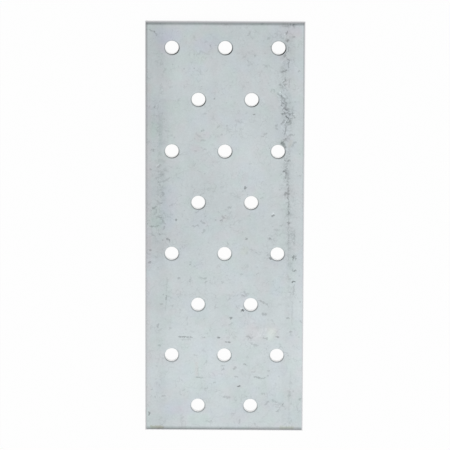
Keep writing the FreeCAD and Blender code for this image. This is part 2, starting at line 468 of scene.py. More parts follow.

# The cut edges: the upright wall is burnished by the punch, the break is bare and rough.
# The roll is the zinc itself, more worn and so rougher towards the foot; painted shading darkens it towards
# the top. Those pairs are foot, top
cutEdges = {
    # painted shading of the roll: lighter at the foot, darker at the top
    "rollPaintedShading": (1.06, 0.92),
    "rollRoughness": (0.50, 0.30),
    "rimShade": (0.03, 0.31),    # painted shade all round the rim of a hole
    "firstSideShade": (0.32, 0.84),   # and more painted shade on its first shaded side
    "secondSideShade": (0.38, 0.03),    # and on its second shaded side
    "falloff": 6.0,              # how quickly both fade round the hole
    "boreStart": 0.55,           # where on the roll the bright cut starts, at the holes
    "endStart": 0.22,            # and at the outer edges
    "rollFade": (0.0, 0.40),     # how fast each look comes in, in steps down the cut
    "wallFade": (0.0, 0.30),
    "breakFade": (2.0, 2.1),
    "boreColour": (0.960, 0.965, 0.960),
    "endColour": (0.700, 0.700, 0.720),
    "breakColour": (0.760, 0.765, 0.770),
}

# Painted shade in strips along the outer edges: side, width in mm, depth at the foot and at the top
edgeShadeStrips = [
    ("left", 1.0, 0.00, 0.30),
    ("right", 0.9, 0.00, 0.28),
    ("top", 1.7, 0.32, 0.32),
    ("foot", 1.8, 0.22, 0.22),
    ("foot", 0.9, 0.34, 0.34),
]

# Painted shade on the strip beside the left edge: full depth up to one x, none past the other, then (y,
# depth)
leftShadeStrip = {
    "fullTo": -25.5,
    "noneFrom": -16.5,
    "depth": [(-80, 0.02), (-50, 0.035), (-25, 0.045), (-5, 0.07), (10, 0.07), (40, 0.075), (65, 0.065),
              (80, 0.06)],
}

# How dull the whole sheet is along its length: (y, depth)
dullness = [(-80, 0.03), (-66, 0.02), (-58, -0.01), (-34, -0.005), (-15, 0.01), (2, 0.02), (20, 0.01),
            (50, 0.0), (62, 0.005), (70, 0.02), (80, 0.02)]

# Fine curved scuffs: size of their curls, line width, size of their patches, where those start, depth
scuffs = [
    (2.4, 0.030, 6.0, 0.55, 0.10),
    (1.3, 0.040, 4.0, 0.57, 0.11),
    (4.5, 0.014, 9.0, 0.54, 0.09),
]
scuffFade = 0.08                 # past that start on the noise, a patch is full

# Small dark pits
pits = {
    "radius": (0.15, 0.35),      # least and greatest, in mm
    "edge": (0.6, 1.6),          # in radii: fully dark up to the first, none past the second
    "kinds": [(3, 4.0, 0.55, 0.18), (7, 2.0, 0.60, 0.12)],  # seed, cell size, share left bare, depth
}

# Heights in mm between which the marks of the struck face fade in on the cut edges
frontDepth = (0.2, 1.2)

# How finely marks and stains waver, and how far in mm
waver = {"scale": 1.4, "reach": 1.5}

# Rolling left two worn bands along the plate: each has a soft shade, crackle, wisps and jagged lines.
# path and share are (y, value); shade, crackle, wisps and line are depths, jag is how far the lines sway
bands = {
    "right": {
        "path": [(-80, 23.6), (-45, 24.0), (-20, 24.3), (-4, 24.2), (4, 24.0), (20, 23.4), (33, 22.6),
                 (38, 22.8), (43, 23.9), (46, 23.4), (49, 22.2), (52, 21.9), (57, 21.6), (61, 22.4),
                 (66, 23.4), (72, 23.2), (80, 24.2)],
        "share": [(-80, 0.10), (-45, 0.22), (-20, 0.40), (0, 0.54), (18, 0.64), (28, 0.72), (36, 0.80),
                  (45, 0.90), (52, 0.90), (60, 0.72), (80, 0.62)],
        "width": 3.8, "shade": 0.11, "crackle": 0.25, "wisps": 0.10, "jag": 4.2, "line": 0.18,
    },
    "left": {
        "path": [(-80, -23.5), (-50, -24.4), (-25, -22.2), (-10, -25.5), (5, -24.8), (20, -24.2), (40, -24.6),
                 (60, -23.4), (80, -26.0)],
        "share": [(-80, 0.10), (-40, 0.22), (-12, 0.40), (0, 0.90), (20, 1.0), (34, 0.85), (50, 0.50),
                  (62, 0.25), (80, 0.10)],
        "width": 4.0, "shade": 0.03, "crackle": 0.07, "wisps": 0.08, "jag": 2.0, "line": 0.04,
    },
}

# Where a band has them: patch size, start and full on the noise, stretch, detail
bandPatches = {
    "shade": (2.8, 0.30, 0.72, (1.0, 0.6), 2.0),
    "crackle": (2.0, 0.45, 0.57),
    "wisps": (1.3, 0.48, 0.70, (0.35, 1.0), 2.0),
    "line": (1.6, 0.46, 0.58),
}
bandCore = 0.2                   # mm each side of the path with the full depth
crackleLines = (1.4, 0.085)      # size of the curls, line width
jagged = {                       # each dark line has a light one beside it
    "lines": [(1.5, 0.0), (1.1, 0.9)],  # size of the sway, how far aside
    "darkFade": (0.05, 0.28),
    "lightFade": (0.05, 0.30),
    "lightAside": 0.45,
    "lightDepth": 0.60,
}

# Single marks, placed one by one: x, y, turn in degrees, length, width, depth, bend; a depth below 0 is light
# A light mark set just above or beside a dark one is a painted highlight on the lit side of that dark mark
marks = [
    # upper left: curved rubs and a few pits
    (-27.4, 76.4, -20, 1.6, 0.35, 0.2, -0.1), (-26.3, 75.6, -50, 1.6, 0.35, 0.16),
    (-11.5, 73.5, -60, 2.2, 0.4, 0.08, 0.2), (-7.5, 67.7, -20, 3.4, 0.4, 0.09, 0.1),
    (-7.3, 72.1, 20, 0.8, 0.4, 0.09), (-5.4, 70.4, 0, 0.3, 0.45, 0.16),
    (-9.5, 68.0, 70, 1.6, 0.35, 0.08, 0.1), (-22.7, 61.0, 60, 1.6, 0.35, 0.08, 0.2),
    (-24.0, 55.0, 80, 2.4, 0.4, 0.09, 0.1), (-20.5, 54.7, 10, 1.4, 0.4, 0.08, 0.1),
    (-24.0, 52.5, 30, 0.8, 0.4, 0.1), (-4.0, 50.3, 80, 0.3, 0.4, 0.32), (-7.0, 61.0, 40, 1.0, 0.3, 0.09),
    (-28.5, 47.0, 80, 0.8, 0.25, 0.12), (-26.6, 47.2, 85, 1.2, 0.25, 0.12),
    (-25.3, 47.1, 88, 1.6, 0.25, 0.14), (-7.5, 44.4, 0, 0.4, 0.4, 0.12), (-1.2, 36.4, 60, 0.5, 0.35, 0.16),
    (-2.7, 35.6, 0, 1.8, 0.35, 0.07), (-21.8, 37.8, -20, 1.6, 0.3, 0.08, -0.2),
    (-20.4, 36.2, 0, 1.4, 0.35, 0.09), (-24.3, 36.2, 20, 1.2, 0.35, 0.12), (-27.0, 30.1, 85, 1.0, 0.3, 0.1),
    # upper right, inside the worn band
    (22.3, 78.3, 0, 3.6, 0.5, 0.11), (25.6, 78.2, -60, 1.4, 0.35, 0.13, 0.2),
    (22.9, 75.6, 60, 1.4, 0.4, 0.24), (22.4, 75.4, 60, 0.9, 0.25, -0.18), (25.6, 74.3, 0, 0.3, 0.4, 0.18),
    (23.5, 72.8, 90, 0.7, 0.4, 0.26), (22.6, 67.4, 60, 2.0, 0.35, 0.27, 0.2),
    (23.4, 65.8, -50, 1.6, 0.35, 0.27), (23.8, 63.6, 85, 2.6, 0.3, 0.24), (22.9, 66.3, -50, 1.2, 0.25, -0.14),
    (23.6, 69.6, 88, 1.4, 0.3, 0.18), (22.0, 61.0, 20, 2.0, 0.35, 0.24, 0.1), (27.8, 61.0, 0, 0.4, 0.3, 0.18),
    (22.4, 57.4, 60, 2.4, 0.3, 0.25, 0.3), (21.2, 55.4, -40, 1.6, 0.3, 0.22),
    (24.1, 56.5, 88, 3.0, 0.25, 0.14), (17.5, 53.6, 80, 0.8, 0.25, 0.18), (18.4, 53.6, 80, 0.8, 0.25, 0.18),
    (21.2, 51.4, -35, 3.8, 0.3, 0.21), (21.5, 52.1, -35, 2.0, 0.25, -0.16),
    (21.6, 57.0, 60, 1.4, 0.25, -0.16, 0.2), (20.8, 53.2, 70, 0.7, 0.25, -0.18),
    (22.5, 49.5, -50, 2.0, 0.35, 0.21), (21.7, 48.7, 10, 0.5, 0.45, 0.18),
    (22.4, 46.8, 50, 2.2, 0.3, 0.23, 0.2), (23.6, 46.0, -30, 1.6, 0.3, 0.18),
    (22.4, 44.8, 15, 2.2, 0.4, 0.28), (22.9, 43.9, 0, 0.3, 0.25, -0.29), (23.4, 43.2, -50, 1.4, 0.4, 0.32),
    (24.8, 44.6, 30, 1.6, 0.4, 0.18), (25.8, 43.6, -60, 1.4, 0.3, 0.21), (26.2, 44.6, 40, 0.7, 0.25, -0.16),
    (24.6, 42.2, 60, 1.8, 0.35, 0.21), (24.2, 41.2, 0, 1.4, 0.4, 0.14),
    (22.0, 41.4, 55, 1.8, 0.35, 0.18, 0.2), (22.8, 38.6, 86, 3.4, 0.35, 0.14),
    (19.3, 40.1, 30, 0.8, 0.45, 0.16), (19.5, 38.8, -20, 0.7, 0.4, 0.13), (25.2, 36.4, 0, 1.6, 0.5, 0.18),
    (22.5, 34.6, 0, 0.4, 0.45, 0.23), (22.2, 32.6, -60, 1.8, 0.75, 0.3), (25.6, 32.6, 75, 1.4, 0.4, 0.14),
    (26.4, 33.7, 0, 0.8, 0.35, 0.18), (23.9, 26.4, 0, 0.8, 0.45, 0.21), (21.0, 21.0, 20, 0.8, 0.4, 0.13),
    # the line that runs down from there
    (23.8, 20.0, 88, 6.0, 0.3, 0.1), (24.0, 13.0, 90, 7.0, 0.3, 0.1), (24.1, 5.0, 90, 7.0, 0.3, 0.11),
    (24.1, -3.0, 90, 7.0, 0.3, 0.08), (24.2, -11.0, 90, 7.0, 0.3, 0.05), (22.6, 22.6, 30, 0.8, 0.4, 0.22),
    (22.9, 21.8, -40, 1.6, 0.3, 0.16), (22.8, 13.5, 80, 0.8, 0.4, 0.18), (22.3, 24.6, 80, 1.8, 0.3, 0.1),
    (23.4, 23.4, 60, 1.2, 0.25, -0.1), (23.2, 22.0, 85, 4.5, 0.4, 0.15), (24.0, 14.0, 88, 6.0, 0.35, 0.11),
    (23.5, 17.0, 30, 0.5, 0.45, 0.18), (23.4, 13.8, 0, 0.4, 0.4, 0.18), (24.1, 9.6, 80, 1.6, 0.5, 0.16),
    (24.2, 6.0, 80, 0.6, 0.5, 0.27), (24.3, 2.2, 20, 0.4, 0.5, 0.2), (26.4, -3.6, 88, 5.5, 0.3, 0.11),
    (26.1, -11.5, 85, 1.6, 0.35, 0.34), (26.9, -11.4, 85, 1.4, 0.3, 0.28),
    (26.4, -16.6, 15, 1.0, 0.4, 0.31, 0.1), (26.2, -20.8, 0, 0.4, 0.5, 0.49),
    (26.3, -24.0, 86, 3.6, 0.4, 0.14), (24.6, -25.0, 0, 0.4, 0.4, 0.16), (25.8, -33.0, 88, 9.0, 0.3, 0.07),
    (25.2, -40.6, 0, 0.5, 0.45, 0.18), (24.1, -35.2, 0, 0.4, 0.45, 0.23), (29.2, -36.6, -50, 1.0, 0.3, 0.16),
    (24.9, -66.5, 88, 20.0, 0.35, 0.05), (25.0, -65.3, 90, 1.8, 0.85, 0.07, 0.2),
    (29.1, -67.4, 0, 0.4, 0.4, 0.16),
    # middle, upper half
    (9.1, 75.4, 60, 1.6, 0.5, 0.1, 0.2), (16.2, 73.7, 0, 0.4, 0.4, 0.13),
    (7.2, 66.5, 40, 1.6, 0.35, 0.1, 0.2), (8.7, 65.0, -40, 1.8, 0.35, 0.1, 0.2),
    (9.2, 63.5, 20, 1.6, 0.35, 0.1), (15.2, 63.0, -30, 1.4, 0.4, 0.11, 0.1),
    (13.3, 60.2, 70, 2.0, 0.35, 0.09, 0.1), (11.0, 44.3, 0, 0.4, 0.45, 0.36),
    (5.1, 41.5, -20, 2.2, 0.6, 0.08, 0.1), (15.2, 36.8, 20, 0.6, 0.4, 0.18), (14.0, 35.8, 0, 0.5, 0.4, 0.16),
    (-8.2, 38.0, 20, 0.7, 0.45, 0.18), (-2.4, 39.5, 80, 0.8, 0.35, 0.18),
    (-9.9, 35.9, -35, 2.8, 0.5, 0.09, 0.1), (-8.2, 34.1, 0, 1.6, 0.4, 0.11),
    (-5.7, 35.2, 60, 1.0, 0.4, 0.1, 0.1), (-11.0, 29.9, 0, 0.4, 0.45, 0.21), (-7.4, 30.7, 0, 0.5, 0.4, 0.13),
    (-11.5, 24.9, 60, 1.4, 0.35, 0.09, 0.1), (-9.6, 22.1, -30, 1.4, 0.35, 0.09, 0.1),
    (9.5, 25.2, 20, 0.8, 0.4, 0.1), (7.8, 15.7, 80, 0.5, 0.45, 0.36), (14.0, 12.0, 30, 1.0, 0.4, 0.12, 0.1),
    (1.8, 8.1, 0, 1.0, 0.4, 0.16, 0.1),
    # left band
    (-27.6, 46.2, 0, 0.6, 0.3, 0.08), (-27.2, 30.5, 0, 1.4, 0.35, 0.11), (-24.8, 24.0, 40, 1.4, 0.4, 0.11),
    (-25.4, 24.2, 60, 0.7, 0.4, -0.16), (-22.3, 22.5, -30, 1.6, 0.4, 0.09, 0.1),
    (-28.1, 23.0, 0, 0.5, 0.4, 0.16), (-24.6, 19.8, 30, 3.4, 0.4, 0.1, 0.1),
    (-23.1, 18.1, 20, 4.6, 0.4, 0.1, 0.08), (-24.6, 16.8, 0, 0.6, 0.4, 0.16),
    (-23.2, 13.0, 70, 1.4, 0.4, 0.14, 0.1), (-25.0, 10.0, -30, 2.4, 0.4, 0.12, 0.2),
    (-26.5, 8.0, 30, 1.4, 0.5, 0.16), (-26.1, 6.1, 60, 1.6, 0.5, 0.13, 0.1), (-20.4, 8.8, 40, 1.4, 0.4, 0.11),
    (-23.6, 3.0, -55, 3.4, 0.4, 0.13), (-27.9, 0.4, 0, 1.0, 0.4, 0.18), (-26.4, 0.6, 0, 2.2, 0.4, 0.14, 0.1),
    (-23.0, -0.2, 60, 1.0, 0.4, 0.18), (-24.3, -2.5, 20, 1.0, 0.3, 0.21), (-21.4, -4.5, -35, 1.0, 0.45, 0.29),
    (-28.4, -8.8, 0, 0.5, 0.45, 0.21), (-28.4, -13.6, 0, 0.5, 0.45, 0.21),
    # middle of the plate
    (-18.4, 3.2, 0, 0.4, 0.45, 0.34), (-10.3, 6.3, 30, 1.4, 0.4, 0.11, 0.1), (-1.4, 3.0, 20, 0.8, 0.45, 0.26),
    (-0.6, 4.2, -40, 1.0, 0.4, 0.18), (-8.3, 2.2, -30, 1.6, 0.5, 0.14, 0.1),
    (-11.0, 0.8, 10, 2.0, 0.4, 0.15, 0.1), (-7.9, -1.3, 60, 1.4, 0.5, 0.14, 0.1),
    (18.3, 5.0, 0, 0.4, 0.55, 0.34), (18.3, 5.7, 0, 0.5, 0.4, -0.16), (19.7, -0.7, 0, 1.6, 0.4, 0.11, 0.3),
    (21.4, 1.2, 20, 1.0, 0.4, 0.13), (8.2, -4.0, 0, 0.3, 0.45, 0.31), (17.3, -4.0, 0, 0.5, 0.45, 0.23),
    (1.1, -6.4, 70, 1.0, 0.3, 0.12, 0.1), (17.2, -11.7, -40, 0.8, 0.35, 0.34),
    (6.6, -18.1, 20, 0.6, 0.4, 0.16), (12.7, -17.8, 0, 0.6, 0.4, 0.16), (-17.2, -19.7, 0, 0.5, 0.4, 0.21),
    (-12.9, -20.6, 88, 2.6, 0.3, 0.11), (-8.4, -19.7, -10, 3.0, 0.4, 0.14, 0.06),
    (-7.1, -21.3, 60, 0.8, 0.4, 0.16), (-0.6, -21.3, 0, 0.6, 0.4, 0.13),
    # lower half
    (-22.0, -25.6, 88, 12.0, 0.3, 0.06), (-22.0, -27.4, 85, 1.8, 0.4, 0.16),
    (-24.1, -30.0, 0, 0.5, 0.4, 0.13), (8.1, -26.2, 20, 1.8, 0.6, 0.14, 0.1),
    (14.8, -29.1, -28, 3.2, 0.4, 0.16), (15.2, -33.8, 0, 1.0, 0.7, 0.18), (7.1, -32.2, -40, 0.6, 0.45, 0.52),
    (6.4, -32.9, 0, 0.4, 0.3, 0.39), (6.3, -31.6, 0, 0.3, 0.3, -0.16), (6.8, -26.6, -30, 1.6, 0.25, 0.14),
    (7.6, -25.4, -30, 1.0, 0.25, 0.16), (7.2, -26.0, -30, 1.4, 0.25, -0.11), (2.5, -35.4, 0, 0.4, 0.45, 0.34),
    (2.4, -37.7, 40, 1.0, 0.4, 0.13), (1.9, -27.9, 20, 0.8, 0.4, 0.1), (-25.2, -38.5, 80, 1.0, 0.45, 0.18),
    (-24.3, -40.0, 30, 1.4, 0.35, 0.09), (-20.4, -39.4, 0, 0.8, 0.4, 0.12),
    (-15.4, -42.9, -2, 3.6, 0.35, 0.3), (-12.6, -43.0, 0, 0.8, 0.3, 0.23), (-14.5, -43.9, 0, 3.2, 0.35, 0.11),
    (-8.0, -43.0, 0, 0.8, 0.4, 0.18), (-2.2, -43.1, 10, 0.8, 0.35, 0.39), (1.4, -44.9, -10, 1.6, 0.4, 0.34),
    (11.5, -46.0, -20, 2.6, 0.5, 0.12, 0.1), (15.7, -43.5, 0, 1.4, 0.5, 0.16, 0.3),
    (20.2, -42.7, 0, 0.7, 0.45, 0.26), (9.0, -42.6, 20, 0.8, 0.4, 0.16), (10.1, -43.1, 0, 1.0, 0.4, 0.16),
    (13.0, -41.6, 70, 2.6, 0.35, -0.08, 0.1), (14.2, -41.2, 70, 3.0, 0.35, -0.08, 0.1),
    (15.6, -40.8, 70, 2.4, 0.35, -0.08, 0.1), (17.6, -41.4, 60, 2.6, 1.7, -0.07),
    (-24.7, -46.3, 20, 0.7, 0.4, 0.16), (-7.1, -53.1, 60, 1.4, 0.4, 0.11, 0.1),
    (-9.7, -56.7, 89, 3.0, 0.35, 0.11), (-9.6, -56.4, 89, 2.6, 0.25, -0.12),
    (-9.9, -59.0, 0, 1.0, 0.45, 0.21), (-8.4, -59.0, 0, 0.7, 0.4, 0.16), (-0.4, -54.2, 0, 0.7, 0.4, 0.16),
    (-0.6, -55.8, 20, 0.8, 0.4, 0.18), (7.6, -53.7, 0, 0.4, 0.45, 0.29), (4.1, -55.2, 30, 1.0, 0.45, 0.17),
    (4.5, -58.6, 0, 0.8, 0.45, 0.17), (11.3, -56.6, 30, 1.4, 0.4, 0.11, 0.1),
    (12.4, -58.8, -15, 2.0, 0.4, 0.21, 0.1), (14.6, -59.2, 10, 1.6, 0.4, 0.18, 0.1),
    (5.7, -62.4, 20, 0.5, 0.4, 0.49), (16.9, -56.2, 0, 0.5, 0.45, 0.13), (-3.5, -60.9, 0, 0.6, 0.4, 0.16),
    (-18.5, -61.7, 88, 3.0, 0.35, 0.07), (-6.8, -63.4, 30, 1.4, 0.4, 0.11, 0.1),
    (0.9, -66.8, 0, 2.4, 0.5, 0.14), (15.0, -65.3, 0, 0.7, 0.45, 0.16),
    (16.4, -69.0, 40, 1.6, 0.5, 0.14, 0.1), (19.3, -68.3, -30, 1.8, 0.5, 0.14, 0.1),
    (22.5, -69.4, 60, 1.0, 0.45, 0.16), (20.5, -72.2, 0, 0.8, 0.45, 0.16), (5.9, -76.3, 80, 1.6, 0.4, 0.14),
    (-6.0, -76.4, 0, 2.2, 0.4, 0.1), (-27.6, -63.7, 0, 0.4, 0.45, 0.13), (-28.6, -73.5, 89, 1.4, 0.3, 0.32),
    (-23.1, -66.4, 0, 0.8, 0.45, 0.12),
]

# Stains, placed the same way: x, y, turn, length, width, what multiplies the colour
stains = [
    (-25.7, -78.8, 0, 3.6, 1.0, (0.88, 0.86, 0.76)), (24.0, -78.9, 0, 4.4, 1.0, (0.94, 0.945, 0.86)),
    (14.3, -40.9, 0, 6.0, 5.0, (1.015, 0.968, 0.975)), (17.7, -41.7, 60, 2.0, 2.4, (1.0, 1.03, 0.99)),
    (19.9, -23.4, 70, 3.0, 3.2, (0.985, 0.987, 1.022)), (-26.4, 1.8, 0, 2.4, 2.8, (0.96, 1.0, 0.975)),
    (-21.5, 74.5, 0, 5.0, 4.0, (0.975, 0.972, 1.025)), (-22.8, 71.5, 60, 4.0, 3.0, (1.0, 0.975, 1.01)),
    (-6.7, 71.8, 30, 5.0, 4.0, (0.975, 0.975, 1.02)), (-13.0, 66.0, 0, 6.0, 3.5, (0.985, 1.008, 0.985)),
    (26.0, 76.3, 0, 2.0, 2.6, (1.015, 0.975, 0.985)), (-19.8, 47.4, 0, 2.0, 3.0, (0.98, 1.01, 0.98)),
    (-8.6, 35.7, 20, 3.0, 2.0, (1.012, 0.97, 0.985)), (-11.2, 31.0, 0, 1.0, 2.0, (1.012, 0.97, 0.985)),
    (7.5, 19.4, 80, 3.0, 1.8, (1.012, 0.97, 0.985)), (-0.7, 3.4, 30, 2.0, 2.4, (1.012, 0.972, 0.985)),
    (-1.0, -3.0, 0, 3.0, 2.4, (1.01, 0.975, 0.99)), (7.5, -8.9, 60, 1.0, 1.8, (1.0, 1.0, 0.96)),
    (-10.5, -55.5, 88, 4.0, 1.0, (1.015, 0.97, 0.97)), (-3.7, -57.4, 40, 1.0, 1.5, (1.012, 0.975, 0.985)),
    (-18.0, -71.8, 0, 2.0, 2.0, (1.012, 0.975, 0.985)), (-9.5, -75.5, 0, 4.0, 3.0, (0.97, 1.01, 0.98)),
    (-27.0, 40.0, 90, 6.0, 2.2, (0.97, 1.0, 0.98)), (-24.3, 37.5, 89, 12.0, 1.1, (0.94, 0.965, 0.955)),
    (-24.0, 17.0, 85, 5.0, 2.2, (0.975, 0.985, 0.985)), (-21.2, 8.0, 85, 12.0, 4.0, (0.975, 0.977, 1.01)),
    (-16.5, -70.9, 0, 6.0, 4.0, (0.985, 0.985, 1.02)), (-29.0, 20.0, 90, 70.0, 1.8, (1.01, 0.965, 0.972)),
    (-29.0, -45.0, 90, 50.0, 1.4, (1.01, 0.975, 0.98)), (24.6, 33.0, 70, 2.0, 0.9, (0.99, 0.97, 0.93)),
]


def calcVector(tree, operation, *values):
    return addNode(tree, "ShaderNodeVectorMath", dict(enumerate(values)), operation=operation).outputs[0]


def dot(tree, first, second):
    return addNode(
        tree, "ShaderNodeVectorMath", {0: first, 1: second}, operation="DOT_PRODUCT"
    ).outputs["Value"]


def scaled(tree, colour, share):
    return addNode(tree, "ShaderNodeVectorMath", {0: colour, "Scale": share}, operation="SCALE").outputs[0]


def blend(tree, share, start, end):
    return addNode(tree, "ShaderNodeMix", {0: share, 4: start, 5: end}, data_type="VECTOR").outputs[1]


def fade(tree, value, start, end, low=0.0, high=1.0):
    # A smooth change from low at start to high at end
    return addNode(
        tree, "ShaderNodeMapRange", {0: value, 1: start, 2: end, 3: low, 4: high},
        interpolation_type="SMOOTHSTEP", clamp=False,
    ).outputs[0]


def cloud(tree, place, seed, size, stretch=(1.0, 1.0), detail=2.0):
    # Noise from 0 to 1, with lumps of about this size in mm
    spot = calcVector(tree, "MULTIPLY_ADD", place, (*stretch, 1.0), (13.0 * seed, 7.0 * seed, 37.0 * seed))
    return addNode(
        tree, "ShaderNodeTexNoise", {"Vector": spot, "Scale": 1.0 / size, "Detail": detail}
    ).outputs[0]


def patches(tree, place, seed, size, start, full, stretch=(1.0, 1.0), detail=1.0):
    # Soft patches, where a cloud rises from start to full
    return fade(tree, cloud(tree, place, seed, size, stretch, detail), start, full)


def curls(tree, place, seed, size, width):
    # Thin winding lines, where a noise crosses its middle
    offMiddle = calc(tree, "ABSOLUTE", minus(tree, cloud(tree, place, seed, size, detail=1.0), 0.5))
    return fade(tree, offMiddle, 0.0, width, 1.0, 0.0)


def alongCurve(tree, y, stops):
    # A value that changes along the plate, through hand-set stops
    start, end = stops[0][0], stops[-1][0]
    low = min(value for spot, value in stops)
    span = max(value for spot, value in stops) - low
    alongShare = addNode(tree, "ShaderNodeMapRange", {0: y, 1: start, 2: end}, clamp=False).outputs[0]
    ramp = addNode(tree, "ShaderNodeValToRGB", {0: alongShare})
    while len(ramp.color_ramp.elements) < len(stops):
        ramp.color_ramp.elements.new(0.5)
    for element, (spot, value) in zip(ramp.color_ramp.elements, stops):
        element.position = (spot - start) / (end - start)
        share = (value - low) / span
        element.color = (share, share, share, 1.0)
    return calc(tree, "MULTIPLY_ADD", ramp.outputs[0], span, low)


def wornBand(tree, place, x, y, seed, band):
    beside = minus(tree, x, alongCurve(tree, y, band["path"]))
    share = alongCurve(tree, y, band["share"])
    inBand = fade(tree, calc(tree, "ABSOLUTE", beside), bandCore, band["width"], 1.0, 0.0)
    shade = times(tree, inBand, patches(tree, place, seed, *bandPatches["shade"]), band["shade"])
    crackle = times(
        tree, curls(tree, place, seed + 1, *crackleLines),
        patches(tree, place, seed + 2, *bandPatches["crackle"]), inBand, share, band["crackle"],
    )
    wisps = times(tree, patches(tree, place, seed + 3, *bandPatches["wisps"]), inBand, band["wisps"])
    wearAndShade = plus(tree, shade, crackle, wisps)
    for number, (size, offset) in enumerate(jagged["lines"]):
        sway = minus(tree, cloud(tree, place, seed + 4 + number, size, (0.0, 1.0)), 0.5)
        aside = plus(tree, calc(tree, "MULTIPLY_ADD", sway, band["jag"], beside), offset)
        fromLight = calc(tree, "ABSOLUTE", plus(tree, aside, jagged["lightAside"]))
        dark = fade(tree, calc(tree, "ABSOLUTE", aside), *jagged["darkFade"], 1.0, 0.0)
        light = fade(tree, fromLight, *jagged["lightFade"], jagged["lightDepth"], 0.0)
        broken = patches(tree, place, seed + 6 + number, *bandPatches["line"])
        wearAndShade = plus(tree, wearAndShade, times(tree, minus(tree, dark, light), broken, share, band["line"]))
    return times(tree, wearAndShade, share)


def specks(tree, place, seed, size, rarity, depth):
    # Small dark pits, one in some of the cells
    spot = calcVector(tree, "MULTIPLY_ADD", place, (1.0, 1.0, 0.0), (5.0 * seed, 0.0, 0.0))
    cells = addNode(tree, "ShaderNodeTexVoronoi", {"Vector": spot, "Scale": 1.0 / size}).outputs
    chance = addNode(tree, "ShaderNodeSeparateColor", {0: cells["Color"]}).outputs
    chosen = calc(tree, "GREATER_THAN", chance[0], rarity)
    radius = between(tree, chance[1], *pits["radius"])
    away = times(tree, cells["Distance"], size)
    speck = fade(tree, calc(tree, "DIVIDE", away, radius), *pits["edge"], 1.0, 0.0)
    return times(tree, speck, chosen, chance[2], depth)


def makeMarkGroup():
    # One mark: a soft stroke that may bend, added to those before it
    tree, given, result = newGroup(
        "Mark",
        [("Place", "NodeSocketVector"), ("Middle", "NodeSocketVector"), ("Along", "NodeSocketVector"),
         ("Across", "NodeSocketVector"), "Half Length", "Width Squared", "Bend", "Depth", "Before"],
        ["After"], "ShaderNodeTree",
    )
    local = calcVector(tree, "SUBTRACT", given["Place"], given["Middle"])
    x, y = dot(tree, local, given["Along"]), dot(tree, local, given["Across"])
    past = calc(tree, "MAXIMUM", minus(tree, calc(tree, "ABSOLUTE", x), given["Half Length"]), 0.0)
    beside = minus(tree, y, times(tree, x, x, given["Bend"]))
    off = calc(tree, "MULTIPLY_ADD", past, past, times(tree, beside, beside))
    cover = fade(tree, off, 0.0, given["Width Squared"], 1.0, 0.0)
    tree.links.new(calc(tree, "MULTIPLY_ADD", cover, given["Depth"], given["Before"]), result["After"])
    return tree


def markInputs(x, y, turn, length, width, depth=1.0, bend=0.0):
    cosine, sine = math.cos(math.radians(turn)), math.sin(math.radians(turn))
    return {
        "Middle": (x, y, 0.0), "Along": (cosine, sine, 0.0), "Across": (-sine, cosine, 0.0),
        "Half Length": length / 2, "Width Squared": width * width, "Bend": bend, "Depth": depth,
    }


def waveredPlace(tree, place):
    # The outlines of marks and stains waver a little
    sway = addNode(tree, "ShaderNodeTexNoise", {"Vector": place, "Scale": waver["scale"], "Detail": 1.0})
    offMiddle = calcVector(tree, "SUBTRACT", sway.outputs[1], (0.5, 0.5, 0.5))
    return calcVector(tree, "MULTIPLY_ADD", offMiddle, (waver["reach"], waver["reach"], 0.0), place)


def struckFaceWearAndShade(tree, place, wavered, markGroup, x, y):
    # Single marks, the two bands, the painted shade on the strip on the left and the dull lengths
    wearAndShade = 0.0
    for mark in marks:
        wearAndShade = useGroup(tree, markGroup, dict(markInputs(*mark), Place=wavered, Before=wearAndShade))["After"]
    for number, band in enumerate(bands.values()):
        wearAndShade = plus(tree, wearAndShade, wornBand(tree, place, x, y, seeds["bands"] + 10 * number, band))
    inStrip = fade(tree, x, leftShadeStrip["fullTo"], leftShadeStrip["noneFrom"], 1.0, 0.0)
    wearAndShade = plus(tree, wearAndShade, times(tree, inStrip, alongCurve(tree, y, leftShadeStrip["depth"])))
    return plus(tree, wearAndShade, alongCurve(tree, y, dullness))


